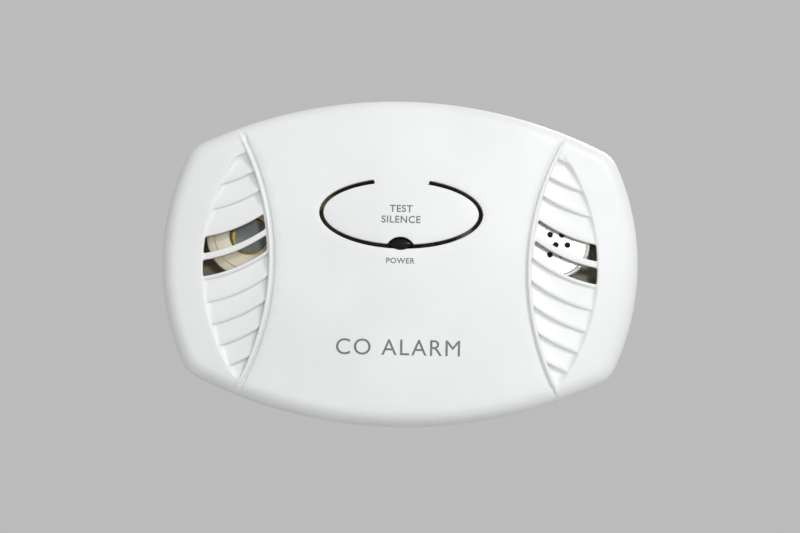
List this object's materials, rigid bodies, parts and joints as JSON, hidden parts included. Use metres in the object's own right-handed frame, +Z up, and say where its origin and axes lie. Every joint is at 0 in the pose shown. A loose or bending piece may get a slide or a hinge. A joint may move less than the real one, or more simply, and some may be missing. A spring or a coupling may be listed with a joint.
{
  "type": "carbon monoxide detector",
  "caption": "Plug-in carbon monoxide alarm with a bowed white housing, louvred vents, an oval test button, wall-plug blades and a hinged door over a nine-volt backup battery.",
  "frame": {"origin": "centre of the back face, in the plane that lies against the wall plate", "axes": "+Y out of the back, the way the plug blades point; the face looks along -Y; +X along the width, to the right of someone facing the alarm; +Z up"},
  "size_m": [0.132, 0.055, 0.09],
  "materials": {
    "cover": "off-white ABS, fine spark texture, satin",
    "rear_cover": "off-white ABS, coarser texture",
    "smoked_lens": "smoked, near-black polycarbonate, polished",
    "led_epoxy": "clear green-tinted epoxy",
    "board_laminate": "tan phenolic laminate with solder mask",
    "black_plastic": "black moulded plastic",
    "switch_plunger": "red-brown moulded plunger",
    "chip_epoxy": "moulded black epoxy",
    "horn_plastic": "cream moulded plastic",
    "piezo_brass": "rolled brass disc, slightly tarnished",
    "piezo_ceramic": "silvered ceramic disc",
    "ferrite": "dark sintered ferrite with a varnished winding",
    "sensor_plastic": "white moulded cell body",
    "nickel_steel": "nickel-plated steel",
    "charcoal_felt": "activated charcoal felt",
    "tinned_brass": "brass, lightly polished",
    "capacitor_case": "yellow box capacitor",
    "capacitor_sleeve": "dark blue shrink sleeve",
    "varistor_coating": "blue epoxy coating",
    "resistor_coating": "grey-green flameproof coating",
    "holder_plastic": "ivory heat-resistant plastic",
    "black_insulation": "black PVC insulation",
    "white_insulation": "white PVC insulation",
    "red_insulation": "red PVC insulation",
    "battery_jacket": "printed steel jacket",
    "zinc_screw": "zinc-plated steel",
    "label_film": "silver polyester label film"
  },
  "bodies": {
    "root": {"front_cover": "cover", "rear_cover": "rear_cover", "led_lens": "smoked_lens", "status_led": "led_epoxy", "main_circuit_board": "board_laminate", "tact_switch_body": "black_plastic", "microcontroller": "chip_epoxy", "chip_resistors": "chip_epoxy", "horn_housing": "horn_plastic", "piezo_plate": "piezo_brass", "piezo_ceramic": "piezo_ceramic", "horn_coil": "ferrite", "sensor_can": "sensor_plastic", "sensor_cap": "nickel_steel", "sensor_filter": "charcoal_felt", "sensor_pins": "tinned_brass", "film_capacitor": "capacitor_case", "reservoir_capacitors": "capacitor_sleeve", "rectifier_diodes": "chip_epoxy", "surge_varistor": "varistor_coating", "fusible_resistor": "resistor_coating", "blade_holder": "holder_plastic", "line_blade": "tinned_brass", "neutral_blade": "tinned_brass", "line_lead": "black_insulation", "neutral_lead": "white_insulation", "battery_jacket": "battery_jacket", "battery_end_board": "black_plastic", "battery_positive_terminal": "nickel_steel", "battery_negative_terminal": "nickel_steel", "contact_plate": "black_plastic", "contact_springs": "nickel_steel", "battery_lead_red": "red_insulation", "battery_lead_black": "black_insulation", "case_screws": "zinc_screw", "board_screws": "zinc_screw", "holder_screws": "zinc_screw", "rating_label": "label_film"},
    "button": {"test_button": "cover"},
    "plunger": {"tact_switch_plunger": "switch_plunger"},
    "door": {"battery_door": "rear_cover"}
  },
  "joints": [
    {"name": "button_press", "type": "hinge", "parent": "root", "child": "button", "pos_m": [0, -0.0371, 0.0224], "axis": [1, 0, 0], "range_deg": [0, 2], "stiffness_Nm_per_rad": 0.3},
    {"name": "plunger_press", "type": "slide", "parent": "root", "child": "plunger", "axis": [0, 1, 0], "range_m": [0, 0.00037]},
    {"name": "door_hinge", "type": "hinge", "parent": "root", "child": "door", "pos_m": [-0.0013, -0.0013, -0.0362], "axis": [-1, 0, 0], "range_deg": [0, 95]}
  ],
  "couplings": [
    {"joint": "plunger_press", "follows": "button_press", "m_per_rad": 0.0104}
  ]
}
